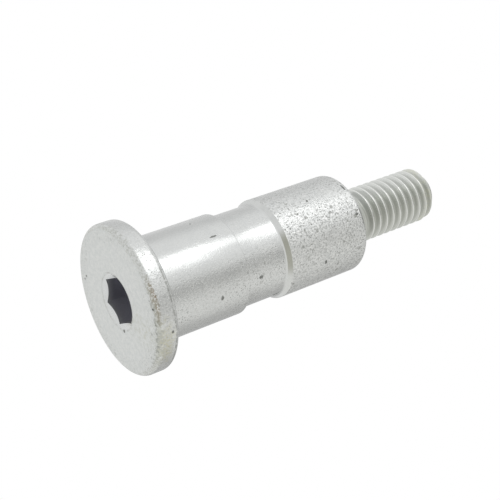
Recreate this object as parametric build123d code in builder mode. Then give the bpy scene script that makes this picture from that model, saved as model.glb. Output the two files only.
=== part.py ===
"""Low-head shoulder bolt with a grooved shoulder, a hexagon socket and a relieved thread end.

The bolt is one turned and broached piece of steel. It stands on its head: the origin is the centre
of the head's outer face, and +Z runs along the axis, from the head to the thread's tip.
"""
from build123d import *
import os
from math import radians, sqrt, tan

# Head
head_diameter = 20.3
head_height = 3.1
head_corner_radius = 0.8  # rounded corner round the outer face
head_rear_chamfer = 0.45
head_root_radius = 0.3  # fillet where the shoulder meets the head

# Shoulder: two lands of one diameter, with a shallow groove between them
shoulder_diameter = 14.0
near_land_length = 12.7
groove_length = 6.9  # from the near land's end to the far land's start, ramp included
groove_depth = 0.55
groove_ramp_length = 0.55  # the groove's floor climbs to the far land over this length
groove_ramp_radius = 0.8  # fillet at the foot of the ramp
far_land_length = 13.0
near_land_chamfer = 0.12
far_land_radius = 0.7  # rounded edge at the thread end

# Thread end: an M8 x 1.25 thread, here at its major diameter
thread_diameter = 8.0
thread_length = 12.6  # from the relief's ramp to the tip
thread_tip_chamfer = 1.3
thread_tip_radius = 0.8  # rounds the chamfer's outer edge
relief_diameter = 6.3
relief_length = 3.4  # run-out groove between the shoulder and the thread, ramp included
relief_ramp_angle = 30  # degrees from the axis
relief_root_radius = 0.5

# Drive: a hexagon socket with a conical mouth and a drilled bottom
socket_across_flats = 6.0
socket_depth = 4.8  # of the flats, from the outer face
socket_mouth_diameter = 7.7
socket_mouth_angle = 120  # degrees, between opposite sides of the cone
drill_point_angle = 118  # degrees, between opposite sides of the cone

# Places along the axis and radii that follow from the sizes above
head_radius = head_diameter / 2
shoulder_radius = shoulder_diameter / 2
groove_radius = shoulder_radius - groove_depth
relief_radius = relief_diameter / 2
thread_radius = thread_diameter / 2

groove_start = head_height + near_land_length
groove_end = groove_start + groove_length
shoulder_end = groove_end + far_land_length
thread_start = shoulder_end + relief_length
tip = thread_start + thread_length
relief_ramp_length = (thread_radius - relief_radius) / tan(radians(relief_ramp_angle))

socket_corner_radius = socket_across_flats / sqrt(3)
socket_mouth_radius = socket_mouth_diameter / 2
mouth_cone_height = socket_mouth_radius / tan(radians(socket_mouth_angle / 2))
drill_radius = socket_across_flats / 2
drill_point_height = drill_radius / tan(radians(drill_point_angle / 2))


def rims(radius, height):
    """The round edges of the part being built that have this radius and lie at this height."""
    near = 1e-4
    return (
        edges()
        .filter_by(GeomType.CIRCLE)
        .filter_by(lambda edge: abs(edge.radius - radius) < near)
        .filter_by(lambda edge: abs(edge.arc_center.Z - height) < near)
    )


with BuildPart() as shoulder_bolt:
    # The turned blank: half of its section, spun about the axis
    with BuildSketch(Plane.XZ):
        with BuildLine():
            Polyline(
                (0, 0),
                (head_radius, 0),
                (head_radius, head_height),
                (shoulder_radius, head_height),
                (shoulder_radius, groove_start),
                (groove_radius, groove_start),
                (groove_radius, groove_end - groove_ramp_length),
                (shoulder_radius, groove_end),
                (shoulder_radius, shoulder_end),
                (relief_radius, shoulder_end),
                (relief_radius, thread_start - relief_ramp_length),
                (thread_radius, thread_start),
                (thread_radius, tip),
                (0, tip),
                close=True,
            )
        make_face()
    revolve(axis=Axis.Z)

    # Edges, from the head to the tip
    fillet(rims(head_radius, 0), head_corner_radius)
    chamfer(rims(head_radius, head_height), head_rear_chamfer)
    fillet(rims(shoulder_radius, head_height), head_root_radius)
    chamfer(rims(shoulder_radius, groove_start), near_land_chamfer)
    fillet(rims(groove_radius, groove_end - groove_ramp_length), groove_ramp_radius)
    fillet(rims(shoulder_radius, shoulder_end), far_land_radius)
    fillet(rims(relief_radius, shoulder_end), relief_root_radius)
    chamfer(rims(thread_radius, tip), thread_tip_chamfer)
    fillet(rims(thread_radius, tip - thread_tip_chamfer), thread_tip_radius)

    # The socket: its conical mouth first, which the six flats then cut into scallops
    with Locations((0, 0, mouth_cone_height / 2)):
        Cone(socket_mouth_radius, 0, mouth_cone_height, mode=Mode.SUBTRACT)
    with BuildSketch(Plane.XY):
        RegularPolygon(socket_corner_radius, side_count=6)
    extrude(amount=socket_depth, mode=Mode.SUBTRACT)
    with Locations((0, 0, socket_depth + drill_point_height / 2)):
        Cone(drill_radius, 0, drill_point_height, mode=Mode.SUBTRACT)

shoulder_bolt.part.label = "shoulder_bolt"
os.makedirs("parts", exist_ok=True)
export_step(shoulder_bolt.part, "parts/shoulder_bolt.step")
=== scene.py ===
"""Looks of the low-head shoulder bolt: zinc-plated steel, worn and pitted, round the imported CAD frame.

The bolt stands on its head on a pale floor: z = 0 is the head's outer face and +Z runs to the thread's tip.
"""

import bmesh
import bpy
from math import cos, hypot, pi, radians, sin, sqrt, tan
from mathutils import Matrix, Vector


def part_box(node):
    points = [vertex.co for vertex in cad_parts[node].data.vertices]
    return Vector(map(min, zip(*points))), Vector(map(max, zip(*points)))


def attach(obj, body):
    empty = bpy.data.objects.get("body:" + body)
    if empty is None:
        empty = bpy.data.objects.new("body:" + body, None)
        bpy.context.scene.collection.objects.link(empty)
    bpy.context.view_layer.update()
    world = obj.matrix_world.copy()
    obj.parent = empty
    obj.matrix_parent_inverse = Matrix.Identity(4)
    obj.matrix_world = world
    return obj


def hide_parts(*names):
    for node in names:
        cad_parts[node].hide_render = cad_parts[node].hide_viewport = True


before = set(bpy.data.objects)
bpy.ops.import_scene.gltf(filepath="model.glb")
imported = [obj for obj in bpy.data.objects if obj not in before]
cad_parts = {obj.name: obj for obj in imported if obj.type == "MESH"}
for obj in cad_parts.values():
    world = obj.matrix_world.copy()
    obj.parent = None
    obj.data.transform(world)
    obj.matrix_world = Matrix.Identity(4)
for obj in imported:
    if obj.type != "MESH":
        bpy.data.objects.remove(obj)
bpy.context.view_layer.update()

MM = 0.001
low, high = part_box("shoulder_bolt")

# ---------------------------------------------------------------- sizes, in millimetres
HEAD_R = (high.x - low.x) / 2 / MM
TIP = high.z / MM
HEAD_H = 3.1
HEAD_CORNER = 0.8
HEAD_REAR = 0.75                   # the worn rear edge, rounded off
HEAD_ROOT = 0.3
SHOULDER_R = 7.0
GROOVE_START = HEAD_H + 12.7
GROOVE_END = GROOVE_START + 6.9
GROOVE_R = SHOULDER_R - 0.55
GROOVE_RAMP = 0.55
SHOULDER_END = GROOVE_END + 13.0
SHOULDER_ROUND = 0.7
RELIEF_R = 3.15
RELIEF_ROOT = 0.5
THREAD_START = SHOULDER_END + 3.4
RAMP_SLOPE = tan(radians(30))
THREAD_R = 4.0                     # the blank that the thread is cut in
PITCH = 1.25
CREST_R = 3.93
ROOT_R = 3.24
TIP_CHAMFER = 1.3
TIP_ROUND = 0.8
SOCKET_FLATS = 6.0
SOCKET_DEPTH = 4.8
MOUTH_R = 3.85
MOUTH_SLOPE = tan(radians(60))
DRILL_SLOPE = tan(radians(59))
DRILL_R = SOCKET_FLATS / 2 - 0.03   # just short of the flats
FACE_SPLIT = 6.5                   # the drive piece meets the rest of the face at this radius
AROUND = 240                       # steps in a full turn


# ---------------------------------------------------------------- mesh helpers
def wire(bm, points):
    """A line of vertices in the XZ plane, from (radius, height) pairs in millimetres."""
    verts = [bm.verts.new((r * MM, 0, z * MM)) for r, z in points]
    for v, w in zip(verts, verts[1:]):
        bm.edges.new((v, w))
    return verts


def round_corner(bm, vert, size, segments):
    """Rounds one corner of a wire."""
    bmesh.ops.bevel(bm, geom=[vert], offset=size * MM, offset_type="OFFSET", segments=segments,
                    profile=0.5, affect="VERTICES", material=-1)


def lathe(bm, steps=AROUND):
    """Spins every loose edge in the mesh once about the Z axis."""
    bmesh.ops.spin(bm, geom=bm.verts[:] + bm.edges[:], cent=(0, 0, 0), axis=(0, 0, 1), angle=2 * pi,
                   steps=steps, use_merge=True)
    bmesh.ops.remove_doubles(bm, verts=bm.verts[:], dist=1e-7)
    bmesh.ops.recalc_face_normals(bm, faces=bm.faces[:])


def turned(corners, steps=AROUND):
    """A lathe of (radius, height, rounding) corners in millimetres."""
    bm = bmesh.new()
    verts = wire(bm, [corner[:2] for corner in corners])
    for vert, (_, _, size) in zip(verts, corners):
        if size:
            round_corner(bm, vert, size, 10 if size > 0.25 else 4)
    lathe(bm, steps)
    return bm


def take(bm, other):
    """Moves another bmesh into this one."""
    mesh = bpy.data.meshes.new("part")
    other.to_mesh(mesh)
    other.free()
    bm.from_mesh(mesh)
    bpy.data.meshes.remove(mesh)


def make_object(name, bm):
    """An object in the scene with this bmesh as its mesh. The bmesh is used up."""
    mesh = bpy.data.meshes.new(name)
    bm.to_mesh(mesh)
    bm.free()
    made = bpy.data.objects.new(name, mesh)
    bpy.context.scene.collection.objects.link(made)
    return made


def cut(body, cutters):
    """The bmesh of body with the cutters' volumes taken out of it. All of them are used up."""
    target = make_object("cut_body", body)
    tools = [make_object("cutter", c) for c in cutters]
    for tool in tools:
        boolean = target.modifiers.new("cut", "BOOLEAN")
        boolean.operation = "DIFFERENCE"
        boolean.solver = "EXACT"
        boolean.object = tool
    done = bmesh.new()
    done.from_object(target, bpy.context.evaluated_depsgraph_get())
    for made in [target, *tools]:
        mesh = made.data
        bpy.data.objects.remove(made)
        bpy.data.meshes.remove(mesh)
    return done


# ---------------------------------------------------------------- the bolt
JOIN_LOW = SHOULDER_END + 1.0      # on the relief's floor, where the thread is joined on
JOIN_HIGH = TIP - 0.25             # on the tip's chamfer, past the thread's root
JOIN_GAP = 0.06                    # height of the band that closes each joint


def drive_bm():
    """The middle of the head's face, with the conical mouth and the hexagon socket cut into it."""
    depth = 8.0
    plug = turned([(0, MOUTH_R / MOUTH_SLOPE, None), (MOUTH_R, 0, 0.07), (FACE_SPLIT, 0, None),
                   (FACE_SPLIT, depth, None), (0, depth, None)])
    hexagon = bmesh.new()
    bmesh.ops.create_circle(hexagon, cap_ends=True, segments=6, radius=SOCKET_FLATS / sqrt(3) * MM)
    bmesh.ops.rotate(hexagon, verts=hexagon.verts[:], matrix=Matrix.Rotation(radians(30), 3, "Z"))
    bmesh.ops.translate(hexagon, verts=hexagon.verts[:], vec=(0, 0, -MM))
    wall = bmesh.ops.extrude_face_region(hexagon, geom=hexagon.faces[:])["geom"]
    bmesh.ops.translate(hexagon, verts=[v for v in wall if isinstance(v, bmesh.types.BMVert)],
                        vec=(0, 0, (SOCKET_DEPTH + 1) * MM))
    bmesh.ops.recalc_face_normals(hexagon, faces=hexagon.faces[:])
    top = SOCKET_DEPTH - 2.8       # well inside the hexagon
    drill = turned([(0, top, None), (DRILL_R, top, None), (DRILL_R, SOCKET_DEPTH, None),
                    (0, SOCKET_DEPTH + DRILL_R / DRILL_SLOPE, None)], 96)
    bm = cut(plug, [hexagon, drill])
    outer = [f for f in bm.faces if all(hypot(v.co.x, v.co.y) > (FACE_SPLIT - 0.01) * MM for v in f.verts)
             or all(v.co.z > (depth - 0.01) * MM for v in f.verts)]
    bmesh.ops.delete(bm, geom=outer, context="FACES")
    return bm


def blank_bm():
    """Face rim, head, shoulder and relief, up to where the thread is joined on."""
    return turned([
        (FACE_SPLIT, 0, None),
        (HEAD_R, 0, HEAD_CORNER),
        (HEAD_R, HEAD_H, HEAD_REAR),
        (SHOULDER_R, HEAD_H, HEAD_ROOT),
        (SHOULDER_R, HEAD_H + 6.0, None),
        (SHOULDER_R, GROOVE_START, 0.14),
        (GROOVE_R, GROOVE_START, 0.08),
        (GROOVE_R, GROOVE_START + 3.0, None),
        (GROOVE_R, GROOVE_END - GROOVE_RAMP, 0.33),
        (SHOULDER_R, GROOVE_END, 0.06),
        (SHOULDER_R, GROOVE_END + 6.0, None),
        (SHOULDER_R, SHOULDER_END, SHOULDER_ROUND),
        (RELIEF_R, SHOULDER_END, RELIEF_ROOT),
        (RELIEF_R, JOIN_LOW, None),
    ])


def envelope(z):
    """Radius that the turned blank has at a height on the thread end."""
    foot = THREAD_START - (THREAD_R - RELIEF_R) / RAMP_SLOPE
    ramp = RELIEF_R + max(0.0, z - foot) * RAMP_SLOPE
    edge = TIP - TIP_CHAMFER
    reach = TIP_ROUND * tan(radians(22.5))
    if z < edge - reach:
        return min(ramp, THREAD_R)
    if z < edge + reach * cos(radians(45)):
        return THREAD_R - TIP_ROUND + sqrt(max(0.0, TIP_ROUND ** 2 - (z - edge + reach) ** 2))
    return THREAD_R - (z - edge)


def thread_bm():
    """One pitch of thread form, spun up a helix, held inside the blank and trimmed flat at both ends."""
    bm = bmesh.new()
    depth = CREST_R - ROOT_R
    flank = depth * tan(radians(30))
    crest_half = (PITCH - 2 * flank) * 0.16
    root_half = (PITCH - 2 * flank) / 2 - crest_half
    form = [
        (0, 0),
        (0, root_half * 0.55),
        (depth * 0.05, root_half * 0.95),
        (depth * 0.28, root_half + flank * 0.27),
        (depth * 0.52, root_half + flank * 0.52),
        (depth * 0.76, root_half + flank * 0.76),
        (depth * 0.95, root_half + flank * 0.97),
        (depth, root_half + flank + crest_half * 0.45),
    ]
    form += [(r, PITCH - z) for r, z in reversed(form)]
    start = JOIN_LOW - 2.2 * PITCH
    wire(bm, [(ROOT_R + r, start + z) for r, z in form])
    bmesh.ops.spin(bm, geom=bm.verts[:] + bm.edges[:], cent=(0, 0, 0), axis=(0, 0, 1),
                   dvec=(0, 0, PITCH * MM / AROUND), angle=2 * pi, steps=AROUND)
    one_turn = bm.verts[:] + bm.edges[:] + bm.faces[:]
    for turn in range(1, int((JOIN_HIGH - start) / PITCH) + 2):
        copy = bmesh.ops.duplicate(bm, geom=one_turn)["geom"]
        bmesh.ops.translate(bm, verts=[v for v in copy if isinstance(v, bmesh.types.BMVert)],
                            vec=(0, 0, turn * PITCH * MM))
    bmesh.ops.remove_doubles(bm, verts=bm.verts[:], dist=2e-6)
    for z, keep_above in ((JOIN_LOW + JOIN_GAP, True), (JOIN_HIGH, False)):
        bmesh.ops.bisect_plane(bm, geom=bm.verts[:] + bm.edges[:] + bm.faces[:], dist=1e-8,
                               plane_co=(0, 0, z * MM), plane_no=(0, 0, 1),
                               clear_inner=keep_above, clear_outer=not keep_above)
    for v in bm.verts:
        most = envelope(v.co.z / MM) * MM
        r = hypot(v.co.x, v.co.y)
        if r > most:
            v.co.xy *= most / r
    return bm


def tip_bm():
    """The rest of the tip's chamfer and the flat end."""
    flat_r = THREAD_R - TIP_CHAMFER
    start = JOIN_HIGH + JOIN_GAP
    return turned([(envelope(start), start, None), (flat_r, TIP, 0.1), (1.2, TIP, None), (0, TIP, None)])


def bridge(bm, z_from, z_to):
    """Closes the gap between the open rims at two heights."""

    def on(v, z):
        return abs(v.co.z - z * MM) < 3e-6
    rims = [e for e in bm.edges if e.is_boundary
            and (all(on(v, z_from) for v in e.verts) or all(on(v, z_to) for v in e.verts))]
    bmesh.ops.bridge_loops(bm, edges=rims)


def bolt_bm():
    """The whole bolt as one closed skin."""
    bm = drive_bm()
    for piece in (blank_bm(), thread_bm(), tip_bm()):
        take(bm, piece)
    bmesh.ops.remove_doubles(bm, verts=bm.verts[:], dist=1e-6)
    bridge(bm, JOIN_LOW, JOIN_LOW + JOIN_GAP)
    bridge(bm, JOIN_HIGH, JOIN_HIGH + JOIN_GAP)
    bmesh.ops.recalc_face_normals(bm, faces=bm.faces[:])
    return bm


SHARP = radians(35)                # edges that turn more than this stay crisp

bolt = make_object("bolt", bolt_bm())
for polygon in bolt.data.polygons:
    polygon.use_smooth = True
bolt.data.set_sharp_from_angle(angle=SHARP)
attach(bolt, "root")
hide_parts("shoulder_bolt")

# ---------------------------------------------------------------- camera
# Its own frame has the bolt's axis for Z and is turned about it by AXES_TURN. Places are in millimetres.
AXES_TURN = radians(-124)
CAMERA_AT = Vector((-132.49, 24.45, -57.34))
CAMERA_LOOK = Vector((0.8510, -0.1540, 0.5021))
CAMERA_UP = Vector((0.0, 0.9561, 0.2933))

camera_data = bpy.data.cameras.new("camera")
camera = bpy.data.objects.new("camera", camera_data)
bpy.context.scene.collection.objects.link(camera)
camera_data.sensor_width = 36.0
camera_data.lens = 82.8
camera_data.clip_start = 0.005
to_bolt = Matrix.Rotation(-AXES_TURN, 3, "Z")
look = (to_bolt @ CAMERA_LOOK).normalized()
right = look.cross(to_bolt @ CAMERA_UP).normalized()
up = right.cross(look)
turn = Matrix((right, up, -look)).transposed().to_4x4()
camera.matrix_world = Matrix.Translation(to_bolt @ CAMERA_AT * MM) @ turn
bpy.context.scene.camera = camera


# ---------------------------------------------------------------- shader maths
class Value:
    """A node's output that adds Math nodes to its tree when it is used in an expression."""

    def __init__(self, tree, socket):
        self.tree = tree
        self.socket = socket

    def math(self, operation, *values):
        return self.tree.node("ShaderNodeMath", dict(enumerate(values)), operation=operation)

    def cap(self):
        """The value, but never above 1."""
        return self.math("MINIMUM", self, 1.0)

    def __add__(self, other):
        return self.math("ADD", self, other)

    __radd__ = __add__

    def __sub__(self, other):
        return self.math("SUBTRACT", self, other)

    def __rsub__(self, other):
        return self.math("SUBTRACT", other, self)

    def __mul__(self, other):
        return self.math("MULTIPLY", self, other)

    __rmul__ = __mul__

    def __truediv__(self, other):
        return self.math("DIVIDE", self, other)

    def __rtruediv__(self, other):
        return self.math("DIVIDE", other, self)

    def __pow__(self, other):
        return self.math("POWER", self, other)

    def __rpow__(self, other):
        return self.math("POWER", other, self)


class Tree:
    """A node tree in which one method makes every node."""

    def __init__(self, owner):
        owner.use_nodes = True
        self.nodes = owner.node_tree.nodes
        self.links = owner.node_tree.links
        self.nodes.clear()

    def node(self, kind, values=(), out=0, **settings):
        """Makes a node, sets its settings, then its sockets by place or name, and returns an output."""
        made = self.nodes.new(kind)
        for key, value in settings.items():
            setattr(made, key, value)
        for place, value in dict(values).items():
            socket = made.inputs[place]
            if isinstance(value, Value):
                self.links.new(value.socket, socket)
            else:
                socket.default_value = value
        return Value(self, made.outputs[out]) if len(made.outputs) else None

    def parts(self, vector):
        """The x, y and z of a vector."""
        split = self.node("ShaderNodeSeparateXYZ", {0: vector}).socket.node
        return [Value(self, split.outputs[i]) for i in range(3)]

    def step(self, value, start, end):
        """0 at start and 1 at end, smooth between them. Start may be the larger."""
        return self.node("ShaderNodeMapRange", {0: value, 1: start, 2: end}, interpolation_type="SMOOTHSTEP")

    def between(self, value, start, end, soft):
        """1 from start to end, fading to 0 over a soft width outside them."""
        return self.step(value, start - soft, start) * self.step(value, end + soft, end)

    def noise(self, vector, scale, detail=2.0, rough=0.5):
        return self.node("ShaderNodeTexNoise", {"Vector": vector, "Scale": scale, "Detail": detail,
                                                "Roughness": rough})

    def spots(self, vector, scale, size, soft):
        """Round spots scattered at random: 1 inside, 0 outside."""
        near = self.node("ShaderNodeTexVoronoi", {"Vector": vector, "Scale": scale, "Randomness": 1.0})
        return self.step(near, size + soft, size)

    def mix(self, factor, a, b):
        """The colour a where factor is 0 and b where it is 1."""
        return self.node("ShaderNodeMix", {0: factor, 6: a, 7: b}, out=2, data_type="RGBA")


def colour(r, g, b):
    return (r, g, b, 1.0)


# ---------------------------------------------------------------- zinc plate
ROUGH_SIDE = radians(333)          # azimuth of the side that is pitted most
SHADED_SIDE = radians(308)         # where the painted shade on the groove's ramp is darkest
# Azimuth of the socket's flats that are painted as lit; the flats opposite are painted in shade
LIT_FLATS_AZIMUTH = radians(30)
HEAD_EDGE = 10.15                  # radius of the marks on the head's side
MARK_EDGE = 0.95                   # where a mark ends, in its half-widths, before its edge frays

PLATE_DULL = colour(0.60, 0.615, 0.61)
PLATE_PALE = colour(0.70, 0.71, 0.70)
GRAIN_PALE = colour(0.88, 0.885, 0.865)
GRAIN_DARK = colour(0.32, 0.325, 0.31)
FACE_DULL = colour(0.605, 0.625, 0.61)
FACE_PALE = colour(0.70, 0.71, 0.69)
THREAD_GREY = colour(0.68, 0.695, 0.665)
# Painted shade in the thread's roots
THREAD_ROOT_SHADE = colour(0.36, 0.37, 0.345)
# Painted shade on the thread's side towards ROUGH_SIDE
THREAD_SHADE = colour(0.40, 0.415, 0.37)
# Painted highlight along the thread's crests
THREAD_CREST_HIGHLIGHT = colour(0.90, 0.905, 0.88)
TIP_TINT = colour(0.60, 0.60, 0.44)
# Painted shade on the groove's ramp
RAMP_SHADE = colour(0.22, 0.22, 0.165)
# Dirt and painted shade in the crevice at the near land's step
CREVICE_DIRT_AND_SHADE = colour(0.22, 0.225, 0.2)
LIP_DARK = colour(0.34, 0.34, 0.31)
ROUGH_TINT = colour(0.62, 0.62, 0.56)
OLIVE = colour(0.47, 0.45, 0.28)
BROWN = colour(0.20, 0.13, 0.06)
RIM_DARK = colour(0.30, 0.31, 0.28)
# Wear and painted shade on the head's rounded corner
CORNER_WEAR_AND_SHADE = colour(0.36, 0.37, 0.32)
REAR_DARK = colour(0.25, 0.255, 0.23)
PIT_DARK = colour(0.22, 0.225, 0.20)
DENT_DARK = colour(0.13, 0.135, 0.12)
# Painted shade and light inside the socket: dark for the flats in shade, paler for the lit ones
SHADED_FLAT_COLOUR = colour(0.385, 0.385, 0.43)
LIT_FLAT_COLOUR = colour(0.56, 0.56, 0.585)

# Dents on the sides: azimuth, height, radius, half-width around and along, and how ragged they are
SIDE_DENTS = [
    (329.7, 11.46, SHOULDER_R, 0.34, 0.22),
    (325.0, 17.93, GROOVE_R, 0.20, 0.34),
    (262.0, 13.04, SHOULDER_R, 0.12, 0.5),
    (292.6, 34.59, SHOULDER_R, 0.2, 0.2),
    (258.3, 28.49, SHOULDER_R, 0.16, 0.14),
    (230.5, 11.94, SHOULDER_R, 0.16, 0.12),
    (10.2, 21.41, 6.6, 0.35, 0.55),
    (334.0, 28.28, SHOULDER_R, 0.3, 0.2),
    (256.1, 34.9, SHOULDER_R, 0.55, 0.16, 0.8),
    (300.0, 35.3, SHOULDER_R, 1.7, 0.1, 0.9),
    (327.9, 1.99, HEAD_EDGE, 0.2, 0.16),
]
# Dents on the face: azimuth, radius and size
FACE_DENTS = [
    (148.4, 7.98, 0.17),
    (144.1, 8.52, 0.15),
    (307.7, 9.61, 0.14),
    (301.0, 9.33, 0.1),
    (38.0, 3.95, 0.22),
]


def zinc_material():
    """Worn zinc plate, with painted shade in the socket, thread roots, on one side of the thread, on the
    groove's ramp and on the head's corner, and painted highlights on the thread's crests. Every length in it
    is in millimetres.
    """
    material = bpy.data.materials.new("worn_zinc_plate")
    t = Tree(material)
    place = t.node("ShaderNodeVectorMath", {0: t.node("ShaderNodeTexCoord", out=3), "Scale": 1 / MM},
                   operation="SCALE")
    x, y, z = t.parts(place)
    r = (x * x + y * y) ** 0.5

    # Patterns
    sand = t.noise(place, 4.2, 3.0, 0.65)
    grain = t.noise(place, 5.0, 3.0, 0.6)
    coarse = t.noise(place, 1.6, 3.0, 0.6)
    cloud = t.noise(place, 0.45)
    patches = t.noise(place, 0.16, 1.0)
    turning_at = t.node("ShaderNodeCombineXYZ", {0: r * 0.6, 1: z * 9.0, 2: r * 2.0})
    turning = t.noise(turning_at, 1.0)
    pin = t.spots(place, 3.1, 0.17, 0.15) * t.step(coarse, 0.38, 0.52)
    pit = t.spots(place, 0.95, 0.16, 0.14) * t.step(cloud, 0.45, 0.6)

    def towards(azimuth):
        """How far a point lies towards an azimuth."""
        return x * cos(azimuth) + y * sin(azimuth)

    def mark(azimuth, height, radius, around, along, ragged=0.5, soft=0.4):
        """A ragged patch on the side, at a place given by azimuth, height and radius."""
        turn = radians(azimuth)
        side = (y * cos(turn) - x * sin(turn)) / around
        front = t.step(towards(turn), 0.0, 0.5 * radius)
        rise = (z - height) / along
        frayed = (coarse - 0.5) * (2 * ragged) + (sand - 0.5) * ragged
        far = (side * side + rise * rise) ** 0.5 + frayed
        return t.step(far, MARK_EDGE + soft / 2, MARK_EDGE - soft / 2) * front

    def spot_on_face(azimuth, radius, size):
        """A ragged round patch on the head's face."""
        turn = radians(azimuth)
        far = ((x - radius * cos(turn)) ** 2.0 + (y - radius * sin(turn)) ** 2.0) ** 0.5 / size
        return t.step(far + (coarse - 0.5), 1.2, 0.7) * t.step(z, 0.5, 0.2)

    # Zones
    face = t.step(z, 0.12, 0.03)
    socket = t.step(r, 3.72, 3.6) * t.step(z, 0.12, 0.5)
    # Painted shade: the deep inside of the socket, below its mouth
    socket_shade = t.step(r, 3.6, 3.5) * t.step(z, 0.2, 1.4) * t.step(z, 7.0, 6.9)
    lit_flat_side = t.step(towards(LIT_FLATS_AZIMUTH), -0.06, 0.06)
    head_side = t.step(r, 7.6, 8.2)
    corner = t.step(r, 9.55, 9.8) * t.between(z, 0.05, 0.7, 0.3)
    near_land = t.between(z, HEAD_H + 0.2, GROOVE_START, 0.1) * t.step(r, 6.5, 6.8)
    # Dirt and painted shade in the crevice where the near land steps down into the groove
    crevice_dirt_and_shade = t.between(z, GROOVE_START - 0.02, GROOVE_START + 0.1, 0.05) * t.step(r, 7.1, 6.99)
    floor_zone = t.between(z, GROOVE_START + 0.05, GROOVE_END - 0.9, 0.1)
    ramp = t.between(z, GROOVE_END - 0.5, GROOVE_END - 0.04, 0.08) * t.step(r, 7.05, 6.98)
    far_land = t.step(z, GROOVE_END - 0.1, GROOVE_END + 0.1) * t.step(SHOULDER_END + 0.1 - z, 0.0, 0.1)
    thread_end = t.step(z, SHOULDER_END, SHOULDER_END + 0.3)
    root = thread_end * t.step(r, 3.75, 3.3) * t.step(z, THREAD_START - 1.5, THREAD_START)
    crest = thread_end * t.step(r, 3.87, 3.925) * t.step(z, THREAD_START - 0.5, THREAD_START)
    last_turns = t.between(z, TIP - 2.3, TIP - 1.2, 0.3)

    # Sides: 1 towards an azimuth, 0 away from it
    rough_way = towards(ROUGH_SIDE) / r
    rough_side = t.step(rough_way, 0.62, 0.95)
    lower_side = t.step(rough_way, 0.2, 0.8)
    # The side of the thread that is painted in shade
    thread_shade_side = t.step(rough_way, 0.1, 0.75)
    shaded = t.step(towards(SHADED_SIDE) / r, 0.86, 0.99)

    # Wear, and on the head's corner wear with painted shade
    speckled = (far_land * (0.6 + lower_side * 0.85) + near_land * (0.05 + rough_side * 0.45)
                + floor_zone * (0.12 + rough_side * 0.6) + head_side * (0.2 + rough_side * 0.5))
    pitted = (far_land * (1.0 + lower_side * 0.25) + near_land * (0.12 + rough_side * 0.5)
              + floor_zone * (0.12 + rough_side * 0.5) + head_side * 0.45 + face * 0.04)
    pitted = pitted * t.step(patches, 0.25, 0.6)
    pits = (pin * pitted + pit * (pitted * 0.8)).cap()
    dents = sum([mark(*dent) for dent in SIDE_DENTS] + [spot_on_face(*dent) for dent in FACE_DENTS])
    dents = dents.cap()
    lip = t.between(r, MOUTH_R - 0.02, MOUTH_R + 0.06, 0.14) * t.step(z, 0.2, 0.1)
    lip = lip * t.step(coarse, 0.42, 0.6)
    # The head's rounded corner: mottled wear and painted shade, more on the rough side
    worn_and_shaded_corner = t.between(r + (coarse - 0.5), 9.62, 10.05, 0.12) * t.step(z, 0.95, 0.6)
    rear = head_side * t.between(z, 2.42, 2.58, 0.1) * t.step(coarse, 0.42, 0.56) * lower_side
    rim_wear = t.between(r, 9.4, 9.8, 0.25) * t.step(z, 0.5, 0.25) * t.step(coarse, 0.5, 0.6)
    rim_wear = rim_wear * (0.1 + rough_side * 0.9)
    olive = mark(337.0, 1.2, HEAD_EDGE, 3.2, 1.0, 1.2, 1.0) * t.step(sand, 0.4, 0.55)
    brown = mark(302.0, 0.42, 10.0, 2.3, 0.30, 0.9, 1.1) * corner * t.step(sand, 0.62, 0.42)
    brown = (brown * 1.3).cap()

    # Colour: each layer covers those before it by its amount
    plate = t.mix(cloud, PLATE_DULL, PLATE_PALE)
    face_mix = t.mix(t.step(coarse + (sand - 0.5) * 0.8, 0.3, 0.7), FACE_DULL, FACE_PALE)
    for amount, tint in (
        (t.step(sand, 0.50, 0.60) * (speckled * 0.5 + 0.06), GRAIN_PALE),
        (t.step(sand, 0.44, 0.37) * (speckled * 0.55 + 0.04), GRAIN_DARK),
        (face * 0.8, face_mix),
        (thread_end * 0.75, THREAD_GREY),
        # painted shade darkening the thread's roots
        (root * 0.42, THREAD_ROOT_SHADE),
        # painted shade on one side of the thread
        (thread_end * thread_shade_side * 0.6, THREAD_SHADE),
        # painted highlight on the thread's crests
        (crest * 0.75, THREAD_CREST_HIGHLIGHT),
        (last_turns * t.step(coarse, 0.4, 0.6) * 0.28, TIP_TINT),
        # painted shade on the groove's ramp, faint all round and darkest towards SHADED_SIDE
        (ramp * (0.06 + shaded * 0.75), RAMP_SHADE),
        # dirt and painted shade in the crevice at the groove's near edge
        (crevice_dirt_and_shade * 0.6, CREVICE_DIRT_AND_SHADE),
        (lip * 0.5, LIP_DARK),
        (rough_side * 0.25 * (1 - face), ROUGH_TINT),
        (olive * 0.6, OLIVE),
        (brown * 0.75, BROWN),
        (rim_wear * 0.6, RIM_DARK),
        # mottled wear and painted shade on the head's corner
        (worn_and_shaded_corner * (0.16 + rough_side * 0.16 + t.step(sand, 0.55, 0.40) * 0.30), CORNER_WEAR_AND_SHADE),
        (rear * 0.6, REAR_DARK),
        (pits * 0.62, PIT_DARK),
        (dents * 0.75, DENT_DARK),
        # the socket's inside is painted over with shade, paler on its lit flats
        (socket_shade, t.mix(lit_flat_side, SHADED_FLAT_COLOUR, LIT_FLAT_COLOUR)),
    ):
        plate = t.mix(amount, plate, tint)

    # Shine
    rough = (0.16 + cloud * 0.07 + far_land * 0.08 + rough_side * 0.06 + face * 0.22 + thread_end * 0.03
             + head_side * 0.03 + pits * 0.25 + dents * 0.3 + socket * 0.18)

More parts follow.
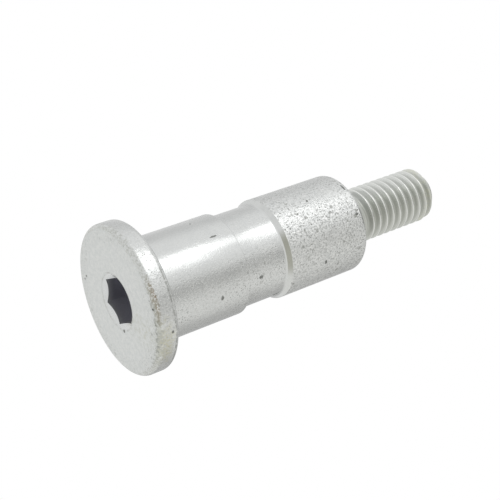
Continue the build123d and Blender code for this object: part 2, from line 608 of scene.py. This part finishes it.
    # Relief
    relief = ((grain - 0.5) * (0.004 + speckled * 0.018 + face * 0.022)
              + (sand - 0.5) * (0.006 + speckled * 0.055 + face * 0.03)
              + (coarse - 0.5) * (0.008 + far_land * 0.03 + head_side * 0.02)
              + (turning - 0.5) * (0.004 + floor_zone * 0.006)
              - pits * 0.05 - dents * 0.1 - rim_wear * 0.04)
    bump = t.node("ShaderNodeBump", {"Strength": 1.0, "Distance": MM, "Height": relief})
    surface = t.node("ShaderNodeBsdfPrincipled", {"Base Color": plate, "Metallic": 1.0, "Roughness": rough,
                                                  "Normal": bump})
    t.node("ShaderNodeOutputMaterial", {0: surface})
    return material


bolt.data.materials.append(zinc_material())


# ---------------------------------------------------------------- floor, seen from above only
FLOOR_HOLE = 9.35                  # the head's face rests inside this ring, open to the light below
FLOOR_R = 8000.0
FLOOR_STEPS = 96
FLOOR_PALE = colour(0.88, 0.88, 0.88)


def floor_object():
    """A flat ring that faces up, diffuse from above and clear from below."""
    bm = bmesh.new()
    bmesh.ops.create_circle(bm, cap_ends=False, segments=FLOOR_STEPS, radius=FLOOR_HOLE * MM)
    bmesh.ops.create_circle(bm, cap_ends=False, segments=FLOOR_STEPS, radius=FLOOR_R * MM)
    bmesh.ops.bridge_loops(bm, edges=bm.edges[:])
    if bm.faces[:][0].normal.z < 0:
        bmesh.ops.reverse_faces(bm, faces=bm.faces[:])
    made = make_object("floor", bm)
    material = bpy.data.materials.new("pale_floor")
    t = Tree(material)
    top = t.node("ShaderNodeBsdfDiffuse", {"Color": FLOOR_PALE})
    below = t.node("ShaderNodeBsdfTransparent")
    behind = t.node("ShaderNodeNewGeometry", out=6)
    t.node("ShaderNodeOutputMaterial", {0: t.node("ShaderNodeMixShader", {0: behind, 1: top, 2: below})})
    made.data.materials.append(material)
    made.visible_shadow = False
    made.visible_glossy = False    # the steel mirrors the pale surround, not its own contact shadow


floor_object()


# ---------------------------------------------------------------- studio: a soft pale surround
WHITE = colour(1, 1, 1)


def studio():
    """The light: pale all round, with upright bands that the steel mirrors. The eye sees plain white."""
    world = bpy.data.worlds.new("studio")
    bpy.context.scene.world = world
    t = Tree(world)
    x, y, z = t.parts(t.node("ShaderNodeTexCoord"))
    level = (x * x + y * y + 1e-6) ** 0.5

    def card(azimuth, half_width, soft):
        """An upright band of the surround, round an azimuth in degrees."""
        turn = radians(azimuth)
        toward = (x * cos(turn) + y * sin(turn)) / level
        edge, full = half_width + soft, max(0.0, half_width - soft)
        return t.step(toward, cos(radians(edge)), cos(radians(full)))

    above = t.step(z, -0.05, 0.34)
    key = card(257, 15, 5) * t.step(z, 0.57, 0.42) * 0.95 + card(249, 7, 5) * t.step(z, 0.75, 0.6) * 0.75
    pale = card(229, 30, 30) * 0.19 + card(284, 14, 12) * 0.14 + card(12, 24, 14) * 0.09
    dark = card(320, 9, 9) * 0.30 + card(78, 26, 26) * 0.26 + card(170, 18, 14) * 0.05
    light = above * (0.80 + key + pale - dark) + (1 - above) * 0.94
    seen = t.node("ShaderNodeLightPath")
    dim = t.node("ShaderNodeBackground", {"Color": WHITE, "Strength": light})
    white = t.node("ShaderNodeBackground", {"Color": WHITE, "Strength": 1.0})
    t.node("ShaderNodeOutputWorld", {0: t.node("ShaderNodeMixShader", {0: seen, 1: dim, 2: white})})


studio()
bpy.context.scene.view_settings.view_transform = "Standard"

bpy.context.view_layer.update()
